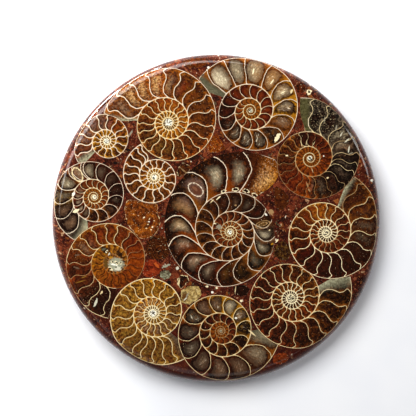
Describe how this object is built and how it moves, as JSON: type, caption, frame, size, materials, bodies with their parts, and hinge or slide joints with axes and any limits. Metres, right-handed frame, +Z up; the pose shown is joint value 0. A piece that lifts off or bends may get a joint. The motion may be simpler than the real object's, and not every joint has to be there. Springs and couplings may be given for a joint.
{
  "type": "fossil ammonite plate",
  "caption": "Round polished plate of red-brown conglomerate with halved fossil ammonites and shell fragments set flush in its face; it lies flat.",
  "frame": {"origin": "centre of the flat back, which rests on the surface", "axes": "+Z up through the polished face, +Y towards the edge with the two upper ammonites"},
  "size_m": [0.14, 0.14, 0.012],
  "materials": {
    "conglomerate": "polished red-brown conglomerate with pale and dark grit",
    "brown_shell": "polished amber-brown calcite with cream septa",
    "dark_shell": "polished dark brown calcite with grey crystal cores",
    "golden_shell": "polished golden-olive calcite with cream septa",
    "fragment": "polished pieces of shell and pebble"
  },
  "bodies": {
    "root": {"matrix": "conglomerate", "ammonite_upper_left": "brown_shell", "ammonite_top": "dark_shell", "ammonite_small_left": "brown_shell", "ammonite_small_inner": "brown_shell", "ammonite_left": "dark_shell", "ammonite_lower_left": "brown_shell", "ammonite_golden": "golden_shell", "ammonite_bottom": "dark_shell", "ammonite_lower_right": "brown_shell", "ammonite_right": "brown_shell", "ammonite_upper_right": "dark_shell", "ammonite_centre": "dark_shell", "fragment_orange": "fragment", "fragment_ribbed": "fragment", "fragment_red": "fragment", "fragment_black": "fragment", "fragment_beige": "fragment", "fragment_dark": "fragment", "fragment_septate": "fragment", "fragment_textured": "fragment", "fragment_rim_dark": "fragment", "fragment_brown_rib": "fragment", "fragment_olive": "fragment", "fragment_rim_brown": "fragment", "fragment_rust": "fragment", "fragment_green": "fragment"}
  },
  "joints": []
}
